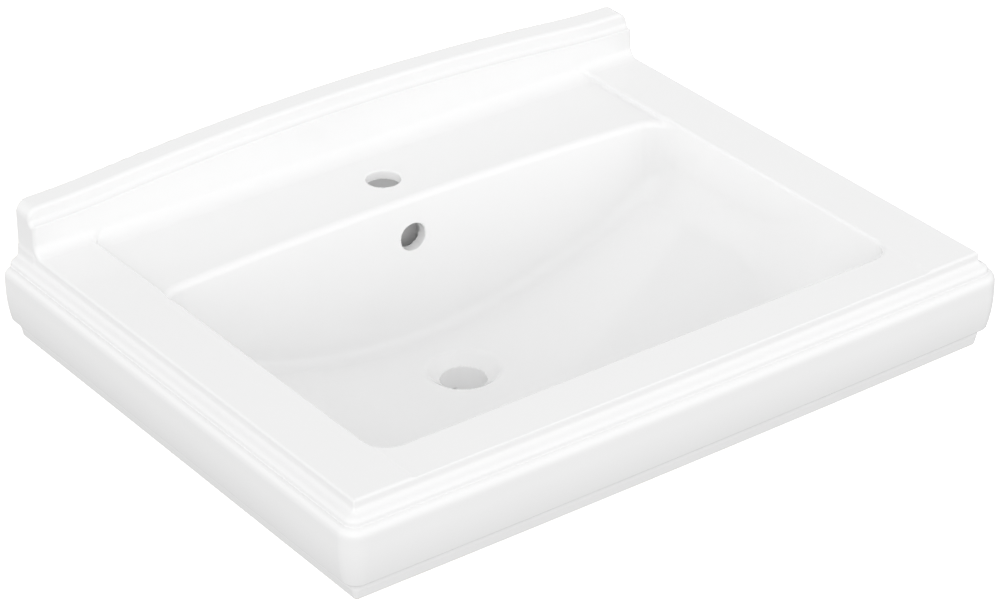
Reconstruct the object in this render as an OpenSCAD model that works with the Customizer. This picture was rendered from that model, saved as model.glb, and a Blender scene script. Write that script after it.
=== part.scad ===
// Washbasin with an arched upstand at the back, and its two wall fixings.
// Millimetres. +Y points into the wall, +X to the right, +Z up.
// Origin: midway between the two fixings, on the wall plane.
//
// The basin is one fired piece. Its body is given in zones that meet face to face, so that
// the open spaces inside the bowl and under the deck stay open in a simplified model too.

/* [Basin] */
// Width over the apron
basin_w = 754; // [700:2:800]
// Depth from the wall to the front of the apron
basin_d = 582; // [540:2:620]
// Height of the deck above the fixings
deck_z = 70; // [62:1:78]
// Height of the moulded rim, from the deck to the foot of the plinth
rim_h = 101; // [96:1:112]
// Plan radius of the two front corners
corner_r = 19; // [19:1:30]
// Thickness of the deck
deck_t = 16; // [14:1:20]
// Thickness of the apron wall at its thinnest
apron_t = 10; // [8:1:14]
// Thickness of the wall that bears on the room's wall
back_t = 16; // [14:1:20]

/* [Bowl] */
// Width of the bowl at its rim
bowl_w = 598; // [560:2:620]
// Distance from the wall to the bowl's back wall, at its ends
bowl_back = 147; // [140:1:160]
// How far the back wall of the bowl bows towards the wall in its middle
bowl_bow = 7; // [4:1:10]
// Distance from the wall to the bowl's front wall
bowl_front = 512; // [480:2:520]
// Plan radius of the bowl's corners
bowl_corner = 26; // [16:1:40]
// Depth of the bowl below the deck at its lowest line
bowl_depth = 162; // [150:1:175]
// Radius of the hammock-shaped floor, across the basin
floor_r = 560; // [540:10:700]
// Radius between the bowl's front wall and its floor
front_fillet = 56; // [54:1:70]
// Thickness of the bowl's wall and floor
shell_t = 9; // [8:0.5:12]

/* [Tap ledge] */
// Depth of the recessed tap ledge below the deck
ledge_drop = 5.7; // [3:0.1:8]
// Distance from the wall to the back of the recess
ledge_back = 44; // [40:1:50]
// Radius of the tap hole
tap_r = 17.5; // [16:0.5:18]
// Distance from the wall to the tap hole's centre
tap_y = 93; // [85:1:105]

/* [Waste and overflow] */
// Radius of the waste hole
waste_r = 23; // [22:0.5:24]
// Distance from the wall to the waste hole's centre
waste_y = 225; // [215:1:240]
// Radius of the waste seat where it meets the floor
seat_r = 38.3; // [34:0.1:42]
// Depth of the waste seat below the floor
seat_h = 11; // [8:1:14]
// Length of the straight waste hole below the seat
waste_len = 30; // [26:1:36]
// Radius of the overflow hole
overflow_r = 14.5; // [11:0.5:15]
// Depth of the overflow hole's centre below the deck
overflow_z = 49; // [45:1:60]
// Inner width of the overflow duct
duct_w = 44; // [36:2:60]
// Inner depth of the overflow duct, front to back
duct_t = 14; // [10:1:18]

/* [Upstand] */
// Half the length of the upstand
upstand_half = 359.4; // [340:0.2:359.4]
// Height of the upstand above the deck in its middle
upstand_mid = 62.7; // [58:0.1:70]
// Height of the upstand above the deck at its ends
upstand_end = 46.7; // [42:0.1:50]
// Radius of the arch along its top
arch_r = 3000; // [2600:50:3400]
// Radius of its top end corners
end_r = 13; // [8:1:16]
// Thickness of the upstand at its top
top_t = 25; // [22:0.5:28]
// Thickness of the upstand below the bead
face_t = 32.5; // [30:0.5:36]
// Distance from the top down to the bead
bead_drop = 17.5; // [14:0.5:22]
// Radius of the cove at the upstand's foot
cove_r = 12; // [8:1:16]

/* [Wall fixings] */
// Distance between the two fixings
stud_pitch = 280; // [250:10:300]
// Radius of the hanger bolts where they enter the wall
stud_r = 5; // [5:0.5:6]
// Length of bolt that goes into the wall
stud_wall = 70; // [60:5:90]
// Length of bolt on the basin's side of the wall plane
stud_room = 44; // [42:1:50]
// Radius of the hole in the ceramic
stud_hole_r = 9; // [8.5:0.5:10]

/* [Hidden] */
$fn = 96;

ceramic = "white";
steel = "silver";
nylon = "whitesmoke";

eps = 0.5;                          // overlap that joins neighbouring solids
hole_fn = 64;
arc_fn = 360;                       // for the long arcs of the floor and the arch
arc_steps = 12;

side_x = basin_w / 2;
foot_z = deck_z - rim_h;
under_z = deck_z - deck_t;          // underside of the deck
floor_z = deck_z - bowl_depth;      // lowest line of the floor
seat_z = floor_z - seat_h;
waste_end = seat_z - waste_len;

// rim profile: insets from the widest line, and depths below the deck
step_in = 17.3;                     // plumb face of the step under the deck's edge
edge_r = 3;
step_h = 6;
hollow = [5.5, 6];                  // the hollow below the step
bead_foot = [7.2, 19.2];            // the upper bead turns down to here
bead = [5.5, 6];
soft = 65;                          // the hollow and the bead meet short of level, in degrees
quirk = 20.9;                       // the groove under the upper bead
low_bead = [6.4, 9.3];
apron_turn = 42;                    // the apron is plumb down to here
apron_mid = [1.8, 63.4];
apron_foot = [5, 80.5];
plinth_top = [13.4, 90];
plinth_foot = 16;
hollow_r = 8;                       // plan radius of the hollow under the deck
fillet_end = 262;                   // the front fillet stops here, just short of level

// waste boss and overflow duct
boss_r = waste_r + 22;
duct_skin = 7;
duct_top_gap = 6;                   // from the deck's underside to the top of the duct
duct_wall_y = bowl_bow - bowl_back; // the bowl's back wall, in its middle
duct_low = floor_z - shell_t - duct_t;
duct_reach = boss_r - 8;            // the duct ends this far from the waste's centre
drop_t = 7;                         // the duct drops this thick before it turns into the hole
slot_t = 9;                         // height of the slot from the drop into the waste hole
slot_z = waste_end + 4;
post_foot = 5;                      // the upstand runs down into the deck by this much

// fixing stack, measured from the wall plane into the room
thread_r = stud_r - 0.3;
sleeve_bore = thread_r + 0.3;
sleeve_r = 8.6;
flange_t = 4;
flange_r = 14;
washer_t = 2;
washer_r = 10.5;
nut_t = 8;
nut_af = 17;
bolt_tip = 8;
bolt_tip_r = 1;

// planes that part the zones, each a little off the faces that it runs beside
far = 1000;
top_cut = deck_z + 0.3;
under_cut = under_z - 1;
front_cut = 2 - bowl_front;
back_cut = -bowl_back - 4;
side_cut = bowl_w / 2 - 14;                 // between the bowl's floor and its side walls
floor_cut = 100;                            // between the floor's middle and its ends
apron_cut = plinth_foot + apron_t + 5;      // from the widest line to behind the apron
rear_cut = -back_t - 4;

function ellipse_arc(c, rx, rz, a0, a1) =
    [for (i = [0:arc_steps]) let (a = a0 + (a1 - a0) * i / arc_steps)
        [c[0] + rx * cos(a), c[1] + rz * sin(a)]];

function mirrored(points) = [for (i = [len(points) - 1:-1:0]) [-points[i][0], points[i][1]]];

// outline of the rim in section: x is the inset, y the height relative to the deck
function rim_profile() = concat(
    ellipse_arc([step_in + edge_r, -edge_r], edge_r, edge_r, 90, 180),
    ellipse_arc([step_in - hollow[0], -step_h], hollow[0], hollow[1], 0, -soft),
    ellipse_arc([bead_foot[0] + bead[0], -bead_foot[1]], bead[0], bead[1], 180 - soft, 180),
    [[bead_foot[0], -quirk]],
    ellipse_arc([low_bead[0], -quirk - low_bead[1]], low_bead[0], low_bead[1], 90, 180),
    [[0, -apron_turn], [apron_mid[0], -apron_mid[1]], [apron_foot[0], -apron_foot[1]]],
    ellipse_arc([apron_foot[0], -plinth_top[1]], plinth_top[0] - apron_foot[0],
        plinth_top[1] - apron_foot[1], 90, 0),
    [[plinth_foot, -rim_h]]);

// a rounded rectangle whose far edge, at y1, bows outwards by bow in its middle
module rounded_plan(x0, x1, y0, y1, r, bow = 0) {
    half = (x1 - x0) / 2 - r;
    polygon(concat(
        ellipse_arc([x0 + r, y0 + r], r, r, 180, 270),
        ellipse_arc([x1 - r, y0 + r], r, r, 270, 360),
        ellipse_arc([x1 - r, y1 - r], r, r, 0, 90),
        bow == 0 ? [] : [for (i = [arc_steps - 1:-1:1 - arc_steps])
            [(x0 + x1) / 2 + half * i / arc_steps, y1 + bow * (1 - pow(i / arc_steps, 2))]],
        ellipse_arc([x0 + r, y1 - r], r, r, 90, 180)));
}

// solid rim and deck before it is hollowed: the front moulding and the side mouldings meet in
// mitres, and the plan's corner radius takes the point off each
module rim_solid() translate([0, 0, deck_z]) intersection() {
    translate([-side_x, 0, 0]) rotate([90, 0, 90]) linear_extrude(basin_w)
        polygon(concat([[0, -rim_h], [0, 0]], [for (p = rim_profile()) [p[0] - basin_d, p[1]]]));
    rotate([90, 0, 0]) linear_extrude(basin_d) {
        left_edge = [for (p = rim_profile()) [p[0] - side_x, p[1]]];
        polygon(concat(left_edge, mirrored(left_edge)));
    }
    translate([0, 0, -rim_h]) linear_extrude(rim_h)
        rounded_plan(-side_x, side_x, -basin_d, corner_r, corner_r);
}

// the hollow under the deck, open below
module under_deck() {
    inset = plinth_foot + apron_t;
    translate([0, 0, foot_z - 1]) linear_extrude(under_z - foot_z + 1)
        rounded_plan(inset - side_x, side_x - inset, inset - basin_d, -back_t, hollow_r);
}

// plan of the bowl: a rounded rectangle whose back edge bows towards the wall
module bowl_plan(grow)
    rounded_plan(-bowl_w / 2 - grow, bowl_w / 2 + grow, -bowl_front - grow, -bowl_back + grow,
        bowl_corner + grow, bowl_bow);

// side view of the bowl: its front wall turns into the floor in a large fillet
module bowl_section(grow) {
    r = front_fillet + grow;
    front = -bowl_front - grow;
    fillet = ellipse_arc([front + r, floor_z - grow + r], r, r, 180, fillet_end);
    last = fillet[len(fillet) - 1];
    polygon(concat([[0, deck_z + 2], [front, deck_z + 2]], fillet,
        [[last[0], waste_end - grow], [0, waste_end - grow]]));
}

// the space inside the bowl up to a level, or the bowl's outside when it is grown by the shell's
// thickness
module bowl_form(grow, top)
    intersection() {
        translate([-side_x, 0, 0]) rotate([90, 0, 90]) linear_extrude(basin_w) bowl_section(grow);
        translate([0, 0, floor_z - grow - eps]) linear_extrude(top - floor_z + grow + eps)
            bowl_plan(grow);
        translate([0, 0, floor_z + floor_r]) rotate([90, 0, 0])
            cylinder(r = floor_r + grow, h = basin_d, $fn = arc_fn);
    }

// outside of the duct: down the back of the bowl, then forwards under the floor to the waste
module duct_form() {
    half = duct_w / 2 + duct_skin;
    low = duct_low - duct_skin;
    back_y = duct_wall_y + shell_t + duct_t + duct_skin;
    translate([-half, -bowl_back, low]) cube([2 * half, back_y + bowl_back, under_z + eps - low]);
    translate([-half, -waste_y, low])
        cube([2 * half, waste_y - bowl_back + eps, duct_t + 2 * duct_skin]);
}

module overflow_passage() {
    // through the bowl's back wall
    translate([0, duct_wall_y - eps - 2, deck_z - overflow_z]) rotate([-90, 0, 0])
        cylinder(r = overflow_r, h = shell_t + 6, $fn = hole_fn);
    // down behind the bowl
    translate([-duct_w / 2, duct_wall_y + shell_t, duct_low])
        cube([duct_w, duct_t, under_z - duct_top_gap - duct_low]);
    // under the floor, and into the side of the waste hole
    translate([-duct_w / 2, -waste_y + duct_reach, duct_low])
        cube([duct_w, waste_y - duct_reach + duct_wall_y + shell_t + duct_t, duct_t]);
    translate([-waste_r / 2, -waste_y + duct_reach - drop_t + 1, slot_z])
        cube([waste_r, drop_t, duct_low + duct_t / 2 - slot_z]);
    translate([-waste_r / 2, -waste_y, slot_z]) cube([waste_r, duct_reach - 2, slot_t]);
}

// seat for the waste, and the waste hole below it
module waste_passage() translate([0, -waste_y, 0]) {
    translate([0, 0, seat_z]) cylinder(r1 = waste_r + 1, r2 = seat_r, h = seat_h + 0.01, $fn = hole_fn);
    translate([0, 0, floor_z - eps]) cylinder(r = seat_r, h = 2 * shell_t, $fn = hole_fn);
    translate([0, 0, waste_end - 1]) cylinder(r = waste_r, h = waste_len + 2, $fn = hole_fn);
}

// outline of the upstand seen from the front; drop lowers its top
module upstand_outline(drop, r)
    intersection() {
        translate([-upstand_half, -post_foot]) square([2 * upstand_half, upstand_mid + post_foot]);
        union() {
            rounded_top(upstand_half, upstand_end - drop, r);
            intersection() {
                translate([-upstand_half + end_r, 0]) square([2 * (upstand_half - end_r), upstand_mid]);
                translate([0, upstand_mid - drop - arch_r]) circle(arch_r, $fn = 2 * arc_fn);
            }
        }
    }

module rounded_top(half, top, r)
    union() {
        translate([-half, -post_foot]) square([2 * half, top + post_foot - r]);
        translate([-half + r, 0]) square([2 * (half - r), top]);
        for (x = [-half + r, half - r]) translate([x, top - r]) circle(r);
    }

module upstand_form() translate([0, 0, deck_z]) {
    rotate([90, 0, 0]) linear_extrude(top_t) upstand_outline(0, end_r);
    rotate([90, 0, 0]) linear_extrude(face_t) upstand_outline(bead_drop, 1);
    // cove between the face and the deck
    translate([-upstand_half, -face_t, 0]) rotate([90, 0, 90]) linear_extrude(2 * upstand_half)
        polygon(concat([[eps, -eps], [eps, cove_r]],
            ellipse_arc([-cove_r, cove_r], cove_r, cove_r, 0, -90), [[-cove_r, -eps]]));
}

// the recess for the tap, behind the bowl
module ledge_recess()
    translate([0, 0, deck_z - ledge_drop]) linear_extrude(ledge_drop + 1)
        rounded_plan(-bowl_w / 2, bowl_w / 2, -bowl_back - bowl_corner * 2, -ledge_back, bowl_corner);

module tap_hole()
    translate([0, -tap_y, under_z - 1]) cylinder(r = tap_r, h = deck_t + 2, $fn = hole_fn);

module fixing_axes() for (x = [-1, 1]) translate([x * stud_pitch / 2, 0, 0]) children();

module fixing_holes()
    fixing_axes() translate([0, 1, 0]) rotate([90, 0, 0])
        cylinder(r = stud_hole_r, h = back_t + 2, $fn = hole_fn);

// the whole fired piece
module china()
    difference() {
        union() {
            difference() {
                rim_solid();
                under_deck();
            }
            bowl_form(shell_t, under_z + eps);
            duct_form();
            translate([0, -waste_y, waste_end]) cylinder(r = boss_r, h = floor_z - waste_end);
            upstand_form();
        }
        bowl_form(0, deck_z + 1);
        ledge_recess();
        tap_hole();
        waste_passage();
        overflow_passage();
        fixing_holes();
    }

// the part of the fired piece between two corners
module zone(low, high) color(ceramic) intersection() {
    china();
    translate(low) cube(high - low);
}

module upstand() zone([-far, -far, top_cut], [far, far, far]);

// the deck, in four zones round the bowl's mouth
module tap_ledge() zone([-far, back_cut, under_cut], [far, far, top_cut]);
module deck_left() zone([-far, front_cut, under_cut], [0, back_cut, top_cut]);
module deck_right() zone([0, front_cut, under_cut], [far, back_cut, top_cut]);
module deck_front() zone([-far, -far, under_cut], [far, front_cut, top_cut]);

// the walls that hang from the deck's edge
module apron_front() zone([-far, -far, -far], [far, apron_cut - basin_d, under_cut]);
module apron_left()
    zone([-far, apron_cut - basin_d, -far], [apron_cut - side_x, rear_cut, under_cut]);
module apron_right()
    zone([side_x - apron_cut, apron_cut - basin_d, -far], [far, rear_cut, under_cut]);
module rear_wall() zone([-far, rear_cut, -far], [far, far, under_cut]);

// the bowl's walls
module bowl_back_wall()
    zone([apron_cut - side_x, back_cut, -far], [side_x - apron_cut, rear_cut, under_cut]);
module bowl_front_wall()
    zone([apron_cut - side_x, apron_cut - basin_d, -far], [side_x - apron_cut, front_cut, under_cut]);
module bowl_left_wall() zone([apron_cut - side_x, front_cut, -far], [-side_cut, back_cut, under_cut]);
module bowl_right_wall() zone([side_cut, front_cut, -far], [side_x - apron_cut, back_cut, under_cut]);

// the bowl's floor
module bowl_floor_left() zone([-side_cut, front_cut, -far], [-floor_cut, back_cut, under_cut]);
module bowl_floor_middle() zone([-floor_cut, front_cut, -far], [floor_cut, back_cut, under_cut]);
module bowl_floor_right() zone([floor_cut, front_cut, -far], [side_cut, back_cut, under_cut]);

// two hanger bolts: pointed screw into the wall, machine thread into the room
module hanger_bolts() color(steel) fixing_axes() {
    rotate([90, 0, 0]) cylinder(r = thread_r, h = stud_room, $fn = hole_fn);
    rotate([-90, 0, 0]) cylinder(r = stud_r, h = stud_wall - bolt_tip, $fn = hole_fn);
    translate([0, stud_wall - bolt_tip, 0]) rotate([-90, 0, 0])
        cylinder(r1 = stud_r, r2 = bolt_tip_r, h = bolt_tip, $fn = hole_fn);
}

// nylon sleeves that centre the bolts and keep the steel off the ceramic
module bolt_sleeves() color(nylon) fixing_axes() difference() {
    union() {
        rotate([90, 0, 0]) cylinder(r = sleeve_r, h = back_t, $fn = hole_fn);
        translate([0, -back_t, 0]) rotate([90, 0, 0])
            cylinder(r = flange_r, h = flange_t, $fn = hole_fn);
    }
    translate([0, 1, 0]) rotate([90, 0, 0])
        cylinder(r = sleeve_bore, h = back_t + flange_t + 2, $fn = hole_fn);
}

module bolt_washers() color(steel) fixing_axes()
    translate([0, -back_t - flange_t, 0]) rotate([90, 0, 0]) difference() {
        cylinder(r = washer_r, h = washer_t, $fn = hole_fn);
        translate([0, 0, -1]) cylinder(r = sleeve_bore, h = washer_t + 2, $fn = hole_fn);
    }

module hex_nuts() color(steel) fixing_axes()
    translate([0, -back_t - flange_t - washer_t, 0]) rotate([90, 0, 0]) difference() {
        cylinder(r = nut_af / sqrt(3), h = nut_t, $fn = 6);
        translate([0, 0, -1]) cylinder(r = thread_r, h = nut_t + 2, $fn = hole_fn);
    }

upstand();
tap_ledge();
deck_left();
deck_right();
deck_front();
apron_front();
apron_left();
apron_right();
rear_wall();
bowl_back_wall();
bowl_front_wall();
bowl_left_wall();
bowl_right_wall();
bowl_floor_left();
bowl_floor_middle();
bowl_floor_right();
hanger_bolts();
bolt_sleeves();
bolt_washers();
hex_nuts();
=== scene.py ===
import bpy
import math
import numpy as np
from mathutils import Matrix, Vector


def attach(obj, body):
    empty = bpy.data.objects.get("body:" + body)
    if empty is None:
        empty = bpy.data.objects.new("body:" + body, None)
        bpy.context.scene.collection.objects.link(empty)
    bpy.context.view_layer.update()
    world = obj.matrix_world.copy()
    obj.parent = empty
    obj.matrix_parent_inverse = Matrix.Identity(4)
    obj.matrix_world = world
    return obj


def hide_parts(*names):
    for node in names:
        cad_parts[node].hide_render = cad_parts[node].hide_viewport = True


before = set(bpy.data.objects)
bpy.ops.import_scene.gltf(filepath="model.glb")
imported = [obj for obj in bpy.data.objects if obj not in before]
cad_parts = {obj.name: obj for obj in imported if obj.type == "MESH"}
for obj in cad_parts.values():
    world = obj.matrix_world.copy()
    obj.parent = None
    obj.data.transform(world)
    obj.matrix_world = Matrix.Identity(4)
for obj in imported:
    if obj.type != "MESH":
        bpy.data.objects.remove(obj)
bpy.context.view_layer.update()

# ---------------------------------------------------------------- view and room
# A long lens at head height in front of the basin's left corner, looking down at it.
# The room is a plain pale floor, as far below the rim as it is for a basin on a wall.
scene = bpy.context.scene
CAMERA_AT = (-1.8318, -2.7631, 1.7847)
FLOOR_Z = -0.80
azimuth, elevation, roll = math.radians(-36.478), math.radians(29.889), math.radians(-0.24)
back = Vector((math.sin(azimuth) * math.cos(elevation),
               -math.cos(azimuth) * math.cos(elevation), math.sin(elevation)))
side = (-back).cross(Vector((0, 0, 1))).normalized()
upward = side.cross(-back)
right = side * math.cos(roll) + upward * math.sin(roll)
upward = upward * math.cos(roll) - side * math.sin(roll)
bpy.ops.object.camera_add()
camera = bpy.context.object
camera.name = "camera"
turn = Matrix((right, upward, back)).transposed().to_4x4()
camera.matrix_world = Matrix.Translation(CAMERA_AT) @ turn
camera.data.lens = 133.85
camera.data.sensor_width = 36
camera.data.clip_end = 50
scene.camera = camera


def srgb(code):
    """A six-figure sRGB hex value as the linear colour that the shaders take."""
    part = [int(code[i:i + 2], 16) / 255 for i in (0, 2, 4)]
    return tuple(c / 12.92 if c <= 0.04045 else ((c + 0.055) / 1.055) ** 2.4 for c in part) + (1,)


def node(tree, kind, links=None, **settings):
    """Adds one shader node, sets its options and sockets, and joins the links that it is given.
    A socket is named, or numbered as i0, i1 and so on where names repeat."""
    def socket(key):
        return made.inputs[int(key[1:]) if key[0] == "i" and key[1:].isdigit() else key]

    made = tree.nodes.new("ShaderNode" + kind)
    for name, value in settings.items():
        if hasattr(made, name):
            setattr(made, name, value)
    for name, value in settings.items():
        if not hasattr(made, name):
            socket(name.replace("_", " ")).default_value = value
    for key, source in (links or {}).items():
        tree.links.new(source, socket(key))
    return made


def material(name):
    """A new empty node material, and its node tree."""
    made = bpy.data.materials.new(name)
    made.use_nodes = True
    made.node_tree.nodes.clear()
    return made, made.node_tree


# Painted studio floor: matt and nearly white, with a faint cloudiness from the roller
paint, tree = material("matt_white_floor_paint")
place = node(tree, "TexCoord").outputs["Object"]
cloud = node(tree, "TexNoise", {"Vector": place}, Scale=1.5, Detail=3.0)
tone = node(tree, "ValToRGB", {"Fac": cloud.outputs["Fac"]})
tone.color_ramp.elements[0].color = srgb("FBFBFB")
tone.color_ramp.elements[1].color = srgb("FFFFFF")
matt = node(tree, "BsdfPrincipled", {"Base Color": tone.outputs["Color"]}, Roughness=0.9)
matt.inputs["Emission Color"].default_value = srgb("FFFFFF")
matt.inputs["Emission Strength"].default_value = 0.45
node(tree, "OutputMaterial", {"Surface": matt.outputs["BSDF"]})

bpy.ops.mesh.primitive_plane_add(size=30, location=(0, 0, 0))
floor = bpy.context.object
floor.name = "floor"
floor.data.transform(Matrix.Translation((0, 0, FLOOR_Z)))
floor.data.materials.append(paint)

# The floor is only seen: the soft light walls of the studio are what lights the basin
floor.visible_diffuse = False
floor.visible_glossy = False
floor.visible_shadow = False

# Wide light walls all round, strongest in front and on the left, with little from overhead,
# and a dimmer even light from below
WALL_LIGHT = (1.0425, 0.7415, 0.0)      # from the two sides, and from the front and the back
LIGHT_LEAN = (-0.1955, -0.3865, 0.271)  # more of it from the left, the front and above
LIGHT_BELOW = 0.54
HORIZON = 0.04                          # how softly the walls end at the horizon
VIEW_WAY = (0.595, 0.804, 0.0)          # from the camera to the back of the room
world = bpy.data.worlds.new("studio")
scene.world = world
world.use_nodes = True
tree = world.node_tree
tree.nodes.clear()
toward = node(tree, "TexCoord").outputs["Generated"]
spread = node(tree, "VectorMath", {"i0": toward}, operation="ABSOLUTE")
walls = node(tree, "VectorMath", {"i0": spread.outputs["Vector"]}, operation="DOT_PRODUCT",
             i1=WALL_LIGHT)
lean = node(tree, "VectorMath", {"i0": toward}, operation="DOT_PRODUCT", i1=LIGHT_LEAN)
above = node(tree, "Math", {"i0": walls.outputs["Value"], "i1": lean.outputs["Value"]}, operation="ADD")
# A low strip of light across the back of the room, which the basin's far edges reflect
across = node(tree, "VectorMath", {"i0": toward}, operation="DOT_PRODUCT", i1=VIEW_WAY)
behind = node(tree, "Math", {"i0": across.outputs["Value"]}, operation="MAXIMUM", i1=0.0)
narrow = node(tree, "Math", {"i0": behind.outputs["Value"]}, operation="POWER", i1=12.0)
strip = node(tree, "Math", {"i0": narrow.outputs["Value"]}, operation="MULTIPLY", i1=0.3)
whole = node(tree, "Math", {"i0": above.outputs["Value"], "i1": strip.outputs["Value"]},
             operation="ADD")
height = node(tree, "SeparateXYZ", {"Vector": toward})
side_on = node(tree, "MapRange", {"Value": height.outputs["Z"]}, i1=-HORIZON, i2=HORIZON)
power = node(tree, "Mix", {"Factor": side_on.outputs["Result"], "i3": whole.outputs["Value"]},
             i2=LIGHT_BELOW)
light = node(tree, "Background", {"Strength": power.outputs["Result"]}, Color=(1, 1, 1, 1))
node(tree, "OutputWorld", {"Surface": light.outputs["Background"]})
scene.view_settings.view_transform = "Standard"

# ---------------------------------------------------------------- basin
# One slip-cast body of glazed vitreous china. Its bowl, recessed tap ledge, moulded rim and arched
# upstand flow into each other in soft rounds, so the body is worked out as one closed form.
# Millimetres; u is the height above the deck, and each form is negative inside.
DECK = 70                 # height of the deck above the wall fixings
RIM_HALF = 377            # half the width over the apron
RIM_FRONT = 582           # from the wall to the front of the apron
FRONT_BOW = 2.3           # the front edge's ends lie this much behind its middle
FRONT_CORNER = 19

# the moulding: insets from the apron's widest line, and depths below the deck
STEP_IN = 17.3
BEAD_IN = 7.2
PLINTH_IN = 13.4
GROOVE = 21.1
BARREL_TOP = 42
BARREL_R = 141.3
APRON_FOOT = 80.6
RIM_FOOT = 101

# the hollow under the deck, and the bowl in it
HOLLOW_HALF = 350
HOLLOW_FRONT = 555
BACK_T = 16
DECK_T = 16
BOWL_HALF = 297.5
BOWL_FRONT = 511
BOWL_BACK = 142           # less at its ends, by BOWL_BOW at 272 from the middle
BOWL_BOW = 11
BOWL_DEPTH = 162
SHELL = 9
LEDGE_DROP = 5.7          # the tap ledge lies this far below the deck

# holes, the duct from the overflow, and the waste's seat
TAP_Y, TAP_R = 93, 17.5
OVERFLOW_DEPTH, OVERFLOW_R = 49.2, 14.5
DUCT_HALF, DUCT_SKIN = 22, 7
WASTE_Y, WASTE_R, BOSS_R = 225, 23.5, 45
SEAT_DEPTH = 172.3
BOSS_FOOT = 203
STUD_APART, STUD_HOLE_R = 140, 9

# the upstand
UPSTAND_HALF = 359.5
UPSTAND_MID, UPSTAND_END = 62.7, 46.7
UPSTAND_CORNER = 13
TOP_T, FACE_T = 25, 32.5
BAND = 16                 # height of the sunk band over the bead


def cut(a, b, r):
    """What is inside both forms, with the edge between them rounded to r."""
    return np.minimum(-r, np.maximum(a, b)) + np.hypot(np.maximum(r + a, 0), np.maximum(r + b, 0))


def join(a, b, r):
    """What is inside either form, with a fillet of r between them."""
    return np.maximum(r, np.minimum(a, b)) - np.hypot(np.maximum(r - a, 0), np.maximum(r - b, 0))


def corner(a, b, r):
    """Distance inwards from two edges that meet in a corner of radius r."""
    return np.where((a < r) & (b < r), r - np.hypot(r - a, r - b), np.minimum(a, b))


def fade(t, start, end):
    """A smooth step from 0 at start to 1 at end."""
    t = np.clip((t - start) / (end - start), 0, 1)
    return t * t * (3 - 2 * t)


def rounded(a, b, rx, ry):
    """What is inside both forms, with an elliptical edge: rx along the first, ry along the second."""
    long = max(rx, ry)
    return cut(a * long / rx, b * long / ry, long) * min(rx, ry) / long


def moulding(inset, u):
    """The rim in section: a step, a hollow and a bead, a lower bead, an apron and a plinth."""
    b = -u
    step = cut(-b, STEP_IN - inset, 3)
    bead = rounded(12 - b, BEAD_IN - inset, 6.5, 5.5)
    upper = join(step, cut(bead, (10.6 - inset - 1.9 * (b - 12.7)) * 0.46, 3), 6)
    low = rounded(GROOVE - b, np.maximum(-inset, -40), 9.3, 6.4)
    drop = np.clip(b - BARREL_TOP, 0, 45)
    barrel = BARREL_R - np.sqrt(BARREL_R ** 2 - drop ** 2)
    low = np.maximum(low, barrel - inset)
    low = cut(low, b - APRON_FOOT, 1.6)
    plinth = cut(PLINTH_IN + 2.6 * np.maximum(b - 90, 0) / 11 - inset, b - RIM_FOOT, 1.5)
    return join(join(np.maximum(upper, b - 60), low, 0.8), np.maximum(plinth, 50 - b), 8)


def top_line(x):
    """Height of the upstand's top: an arch that turns back to level at both ends."""
    arch = UPSTAND_MID - x * x / 6000
    return UPSTAND_END + np.logaddexp(0, (arch - UPSTAND_END) / 1.6) * 1.6


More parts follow.
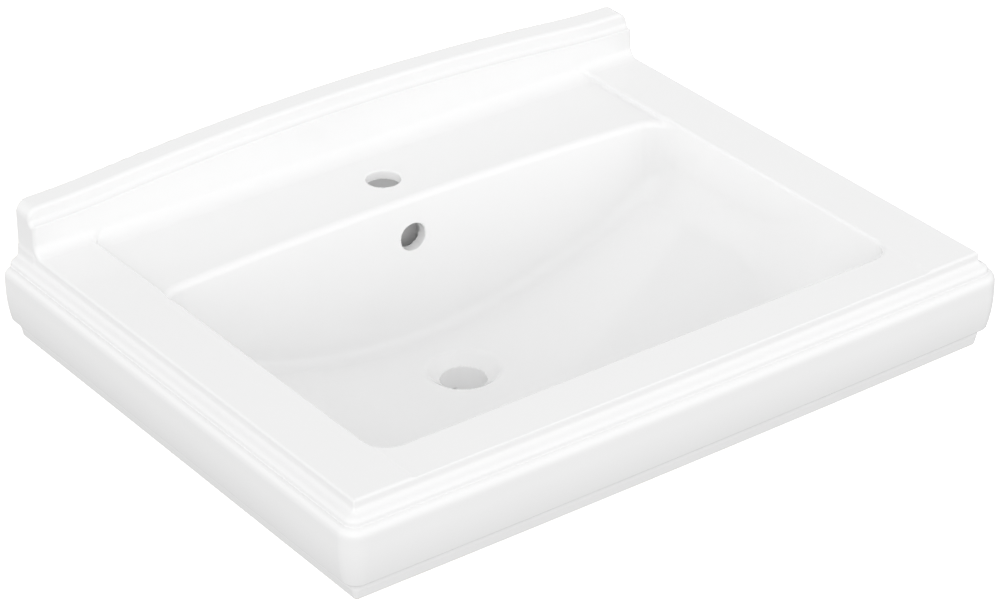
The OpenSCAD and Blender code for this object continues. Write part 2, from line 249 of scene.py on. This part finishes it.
def basin(x, y, z):
    """The whole fired body: negative inside the clay, and about the distance to its surface."""
    u = z - DECK
    wide = np.abs(x)
    front = y + RIM_FRONT - FRONT_BOW * (x / 356) ** 2
    rim = moulding(corner(RIM_HALF - wide, front, FRONT_CORNER), u)
    # the hollow under the deck, open below
    inner = np.minimum(corner(HOLLOW_HALF - wide, y + HOLLOW_FRONT, 9),
                       corner(HOLLOW_HALF - wide, -BACK_T - y, 8))
    body = cut(rim, -cut(-inner, u + DECK_T, 6), 1.5)
    # the bowl: upright walls, a floor that hangs like a hammock, and a fillet between them
    wall_back = -BOWL_BACK - BOWL_BOW * (x / 272) ** 2 + np.clip(u, -160, 0) * 0.027
    plan = np.minimum(corner(BOWL_HALF - wide, y + BOWL_FRONT, 26),
                      corner(BOWL_HALF - wide, wall_back - y, 22))
    sag = (-BOWL_DEPTH + 0.00096 * x * x - u) / np.sqrt(1 + (0.00192 * x) ** 2)
    round_floor = 14 + 9 * fade(wide, 220, 290) + 42 * fade(-y, 300, 430)
    bowl = cut(-plan, sag, round_floor)
    shell = np.maximum(cut(-plan - SHELL, sag - SHELL, round_floor + SHELL), u + 8)
    body = join(body, shell, 8)
    # boss around the waste, and the overflow's duct from behind the bowl to it
    waste = np.hypot(x, y + WASTE_Y)
    boss = np.maximum(cut(waste - BOSS_R, -BOSS_FOOT - u, 2), u + 150)
    duct = cut(np.maximum(wide - DUCT_HALF - DUCT_SKIN, y + 110), -u - 192, 4)
    duct = cut(np.maximum(duct, -y - WASTE_Y), np.where(y < -150, u + 160, u + 12), 2)
    body = join(join(body, boss, 7), duct, 7)
    # deck level with the recessed tap ledge
    recess = cut(wide - BOWL_HALF, -LEDGE_DROP * fade(y, -195, -170) - u, 3)
    level = cut(u, -recess, 3)
    body = np.maximum(body, level)
    # upstand: a flat top, a sunk band, a bead, a plumb face, and a cove onto deck and ledge
    h = top_line(x) - u
    face = join(-y - TOP_T, cut(-y - FACE_T, BAND - h, 1.2), 5)
    outline = corner(UPSTAND_HALF - wide, h, UPSTAND_CORNER)
    post = cut(face, -outline, 4.2)
    cove = 12 + 5 * (1 - fade(wide, 280, 305))
    foot = cut(join(face, np.maximum(level, -y - 70), cove), wide - UPSTAND_HALF, 3.5)
    post = np.maximum(post, -u - 12)
    foot = np.maximum(np.maximum(foot, -u - 12), u - 25)
    body = np.minimum(join(body, post, 3), foot)
    # what is cut away: bowl, tap hole, overflow, duct, waste seat and hole, fixing holes
    body = cut(body, -bowl, 4.2 + 3 * fade(y, -190, -160))
    body = cut(body, TAP_R - np.hypot(x, y + TAP_Y), 1.2)
    overflow = np.maximum(np.hypot(x, u + OVERFLOW_DEPTH) - OVERFLOW_R,
                          np.maximum(y + 124, -165 - y))
    body = cut(body, -overflow, 0.9)
    channel = np.maximum(wide - DUCT_HALF,
                         np.maximum(np.abs(y + 124) - 7, np.maximum(-185 - u, u + 22)))
    under = np.maximum(wide - DUCT_HALF, np.maximum(np.abs(y + 152) - 36, np.abs(u + 178) - 7))
    sump = np.maximum(wide - 11.5, np.maximum(np.abs(y + 190.5) - 3.5, np.abs(u + 188.5) - 12))
    slot = np.maximum(wide - 8, np.maximum(np.abs(y + 206) - 19, np.abs(u + 198.5) - 2))
    body = np.maximum(body, -np.minimum(np.minimum(channel, under), np.minimum(sump, slot)))
    seat = (waste - 24 - (u + SEAT_DEPTH) * 1.2) * 0.64
    drain = np.minimum(np.maximum(seat, np.maximum(u + 140, -SEAT_DEPTH - u)),
                       np.maximum(waste - WASTE_R, u + 165))
    body = cut(body, -drain, 1.2)
    fixing = np.hypot(wide - STUD_APART, z) - STUD_HOLE_R
    body = cut(body, -np.maximum(fixing, -y - 30), 0.8)
    return cut(body, y, 1)


def lines(*runs):
    """Grid lines from runs of (start, end, widest step)."""
    made = [runs[0][0]]
    for start, end, step in runs:
        count = max(1, math.ceil(abs(end - start) / step))
        made += [start + (end - start) * i / count for i in range(1, count + 1)]
    return np.array(made)


# The grid is fine where the mouldings and rounds are, and wide over the plain faces
half = lines((0, 28, 2.5), (28, 260, 9), (260, 286, 3), (286, 306, 1.3), (306, 340, 7), (340, 353, 2),
             (353, 378, 0.9))
gx = np.concatenate([-half[:0:-1], half])
gy = lines((-584, -558, 0.9), (-558, -520, 6), (-520, -502, 1.8), (-502, -470, 5), (-470, -290, 9),
           (-290, -266, 4), (-266, -184, 2.2), (-184, -168, 4), (-168, -132, 1.9), (-132, -54, 3.4),
           (-54, -14, 1.4), (-14, 2, 2))
gz = lines((-135, -86, 2.4), (-86, -33, 3), (-33, -18, 1.3), (-18, 8, 3.5), (8, 34, 2.2),
           (34, 72, 0.95), (72, 98, 3), (98, 134, 1.2))


def grid_surface(form, gx, gy, gz):
    """Closed quads on the surface of a form: one point in each grid cell that the surface crosses."""
    inside = np.array([form(x, gy[:, None], gz[None, :]) < 0 for x in gx])
    cells = tuple(n - 1 for n in inside.shape)
    total = np.zeros((*cells, 3))
    count = np.zeros(cells)
    axes = (gx, gy, gz)
    crossings = []
    for axis in range(3):
        low = [slice(None)] * 3
        high = [slice(None)] * 3
        low[axis], high[axis] = slice(0, -1), slice(1, None)
        at = np.argwhere(inside[tuple(low)] != inside[tuple(high)])
        start = np.stack([axes[k][at[:, k]] for k in range(3)], 1)
        end = start.copy()
        end[:, axis] = axes[axis][at[:, axis] + 1]
        first = form(*start.T)
        for _ in range(14):
            middle = (start + end) / 2
            m = form(*middle.T)
            same = (m < 0) == (first < 0)
            start = np.where(same[:, None], middle, start)
            end = np.where(same[:, None], end, middle)
        point = (start + end) / 2
        p, q = [k for k in range(3) if k != axis]
        around = []
        for dp, dq in ((0, 0), (1, 0), (1, 1), (0, 1)):
            cell = at.copy()
            cell[:, p] -= dp
            cell[:, q] -= dq
            around.append(cell)
            for k in range(3):
                np.add.at(total[..., k], tuple(cell.T), point[:, k])
            np.add.at(count, tuple(cell.T), 1)
        crossings.append((axis, inside[tuple(at.T)], around))
    used = count > 0
    index = np.full(cells, -1)
    index[used] = np.arange(used.sum())
    points = total[used] / count[used][:, None]
    quads = []
    for axis, solid, around in crossings:
        ids = np.stack([index[tuple(c.T)] for c in around], 1)
        flip = ~solid if axis != 1 else solid
        quads.append(np.where(flip[:, None], ids[:, ::-1], ids))
    return points, np.concatenate(quads)


def gradient(form, points, step=0.02):
    """How the form grows along x, y and z at each point."""
    made = np.empty_like(points)
    for k in range(3):
        shift = np.zeros(3)
        shift[k] = step
        made[:, k] = (form(*(points + shift).T) - form(*(points - shift).T)) / (2 * step)
    return made


points, quads = grid_surface(basin, gx, gy, gz)
# Each point slides onto the true surface, and takes its shading from the form's own slope
for _ in range(4):
    slope = gradient(basin, points)
    move = -basin(*points.T)[:, None] * slope / np.maximum((slope ** 2).sum(1), 0.05)[:, None]
    length = np.maximum(np.linalg.norm(move, axis=1), 1e-9)
    points += move * np.minimum(1, 1.0 / length)[:, None]
slope = gradient(basin, points, 0.15)
slope /= np.linalg.norm(slope, axis=1)[:, None]
shape = bpy.data.meshes.new("china_basin")
shape.from_pydata((points / 1000).tolist(), [], quads.tolist())
shape.validate()
shape.shade_smooth()
shape.normals_split_custom_set_from_vertices(slope.tolist())
china = bpy.data.objects.new("china_basin", shape)
scene.collection.objects.link(china)

# Glazed vitreous china: fired clay under a clear glassy glaze, whose faint pull gives the
# reflections a slight waver. The wall face and the plinth's foot are wiped clean of glaze before
# firing, so they are left as bare, chalky, slightly grainy biscuit.
glaze, tree = material("glazed_vitreous_china")
place = node(tree, "TexCoord").outputs["Object"]
cloud = node(tree, "TexNoise", {"Vector": place}, Scale=9.0, Detail=2.0)
tone = node(tree, "ValToRGB", {"Fac": cloud.outputs["Fac"]})
tone.color_ramp.elements[0].color = srgb("F6F6F6")
tone.color_ramp.elements[1].color = srgb("F8F8F8")
pull = node(tree, "TexNoise", {"Vector": place}, Scale=110.0, Detail=1.0)
ripple = node(tree, "Bump", {"Height": pull.outputs["Fac"]}, Strength=0.03, Distance=0.001)
gloss = node(tree, "BsdfPrincipled",
             {"Base Color": tone.outputs["Color"], "Normal": ripple.outputs["Normal"]},
             Roughness=0.09, IOR=1.52)
axis = node(tree, "SeparateXYZ", {"Vector": place})
wavy = node(tree, "TexNoise", {"Vector": place}, Scale=40.0, Detail=2.0)
wipe = node(tree, "Math", {"i0": wavy.outputs["Fac"]}, operation="MULTIPLY", i1=0.0016)
from_wall = node(tree, "Math", {"i0": axis.outputs["Y"], "i1": wipe.outputs["Value"]}, operation="ADD")
at_wall = node(tree, "MapRange", {"Value": from_wall.outputs["Value"]}, i1=-0.0010, i2=-0.0004)
from_foot = node(tree, "Math", {"i0": axis.outputs["Z"], "i1": wipe.outputs["Value"]},
                 operation="SUBTRACT")
at_foot = node(tree, "MapRange", {"Value": from_foot.outputs["Value"]}, i1=-0.0300, i2=-0.0308)
sideways = node(tree, "Math", {"i0": axis.outputs["X"]}, operation="ABSOLUTE")
in_side = node(tree, "Math", {"i0": sideways.outputs["Value"]}, operation="GREATER_THAN", i1=0.340)
in_front = node(tree, "Math", {"i0": axis.outputs["Y"]}, operation="LESS_THAN", i1=-0.545)
in_rim = node(tree, "Math", {"i0": in_side.outputs["Value"], "i1": in_front.outputs["Value"]},
              operation="MAXIMUM")
foot_band = node(tree, "Math", {"i0": at_foot.outputs["Result"], "i1": in_rim.outputs["Value"]},
                 operation="MULTIPLY")
bare = node(tree, "Math", {"i0": at_wall.outputs["Result"], "i1": foot_band.outputs["Value"]},
            operation="MAXIMUM")
grain = node(tree, "TexNoise", {"Vector": place}, Scale=900.0, Detail=4.0)
clay = node(tree, "ValToRGB", {"Fac": grain.outputs["Fac"]})
clay.color_ramp.elements[0].color = srgb("DCD6CC")
clay.color_ramp.elements[1].color = srgb("EFEBE3")
pits = node(tree, "Bump", {"Height": grain.outputs["Fac"]}, Strength=0.25, Distance=0.0004)
chalk = node(tree, "BsdfPrincipled",
             {"Base Color": clay.outputs["Color"], "Normal": pits.outputs["Normal"]}, Roughness=0.85)
skin = node(tree, "MixShader", {"i0": bare.outputs["Value"], "i1": gloss.outputs["BSDF"],
                                "i2": chalk.outputs["BSDF"]})
node(tree, "OutputMaterial", {"Surface": skin.outputs["Shader"]})
shape.materials.append(glaze)
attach(china, "root")
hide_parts("upstand", "tap_ledge", "deck_left", "deck_right", "deck_front", "apron_front",
            "apron_left", "apron_right", "rear_wall", "bowl_back_wall", "bowl_front_wall",
            "bowl_left_wall", "bowl_right_wall", "bowl_floor_left", "bowl_floor_middle",
            "bowl_floor_right")

# ---------------------------------------------------------------- wall fixings
# Two hanger bolts of bright zinc-plated steel, screwed into plugs in the wall. Each carries a
# nylon sleeve with a flange, a plain washer and a hexagon nut on the basin's side.
STUD_X = 0.14
THREAD_PITCH = 0.0015


def zinc_plate(tree, place, bump):
    """Blue-white zinc: a metal with faint spangle in its colour and a brushed, uneven sheen."""
    spangle = node(tree, "TexNoise", {"Vector": place}, Scale=420.0, Detail=3.0)
    tone = node(tree, "ValToRGB", {"Fac": spangle.outputs["Fac"]})
    tone.color_ramp.elements[0].color = srgb("A9ADB2")
    tone.color_ramp.elements[1].color = srgb("D3D5D6")
    sheen = node(tree, "MapRange", {"Value": spangle.outputs["Fac"]}, i3=0.24, i4=0.42)
    plate = node(tree, "BsdfPrincipled",
                 {"Base Color": tone.outputs["Color"], "Roughness": sheen.outputs["Result"],
                  "Normal": bump.outputs["Normal"]}, Metallic=1.0)
    node(tree, "OutputMaterial", {"Surface": plate.outputs["BSDF"]})


# The bolts' rolled thread: a helix of V-shaped ridges round each axis
threaded, tree = material("zinc_plated_rolled_thread")
place = node(tree, "TexCoord").outputs["Object"]
axis = node(tree, "SeparateXYZ", {"Vector": place})
which = node(tree, "Math", {"i0": axis.outputs["X"]}, operation="SIGN")
offset = node(tree, "Math", {"i0": which.outputs["Value"]}, operation="MULTIPLY", i1=STUD_X)
across = node(tree, "Math", {"i0": axis.outputs["X"], "i1": offset.outputs["Value"]},
              operation="SUBTRACT")
angle = node(tree, "Math", {"i0": axis.outputs["Z"], "i1": across.outputs["Value"]},
             operation="ARCTAN2")
start = node(tree, "Math", {"i0": angle.outputs["Value"]}, operation="DIVIDE", i1=2 * math.pi)
turns = node(tree, "Math", {"i0": axis.outputs["Y"]}, operation="DIVIDE", i1=THREAD_PITCH)
helix = node(tree, "Math", {"i0": turns.outputs["Value"], "i1": start.outputs["Value"]},
             operation="ADD")
ridge = node(tree, "Math", {"i0": helix.outputs["Value"]}, operation="PINGPONG", i1=0.5)
thread = node(tree, "Bump", {"Height": ridge.outputs["Value"]}, Strength=1.0, Distance=0.0016)
zinc_plate(tree, place, thread)

# Nuts and washers: the same plate, with the fine scratches of tumbling in the barrel
plain, tree = material("zinc_plated_steel")
place = node(tree, "TexCoord").outputs["Object"]
scratch = node(tree, "TexNoise", {"Vector": place}, Scale=1400.0, Detail=5.0)
tumbled = node(tree, "Bump", {"Height": scratch.outputs["Fac"]}, Strength=0.2, Distance=0.0002)
zinc_plate(tree, place, tumbled)

# Sleeves: natural nylon, off-white and slightly translucent, with a moulded satin skin
nylon, tree = material("natural_moulded_nylon")
place = node(tree, "TexCoord").outputs["Object"]
flow = node(tree, "TexNoise", {"Vector": place}, Scale=160.0, Detail=2.0)
tone = node(tree, "ValToRGB", {"Fac": flow.outputs["Fac"]})
tone.color_ramp.elements[0].color = srgb("DEDACB")
tone.color_ramp.elements[1].color = srgb("EDEADF")
fine = node(tree, "TexNoise", {"Vector": place}, Scale=1500.0, Detail=2.0)
satin = node(tree, "Bump", {"Height": fine.outputs["Fac"]}, Strength=0.12, Distance=0.0002)
resin = node(tree, "BsdfPrincipled",
             {"Base Color": tone.outputs["Color"], "Normal": satin.outputs["Normal"]},
             Roughness=0.42, IOR=1.53, Subsurface_Weight=0.15, Subsurface_Scale=0.002)
node(tree, "OutputMaterial", {"Surface": resin.outputs["BSDF"]})

for name, finish in (("hanger_bolts", threaded), ("bolt_washers", plain), ("hex_nuts", plain),
                     ("bolt_sleeves", nylon)):
    fixing = bpy.data.objects[name]
    fixing.data.materials.clear()
    fixing.data.materials.append(finish)
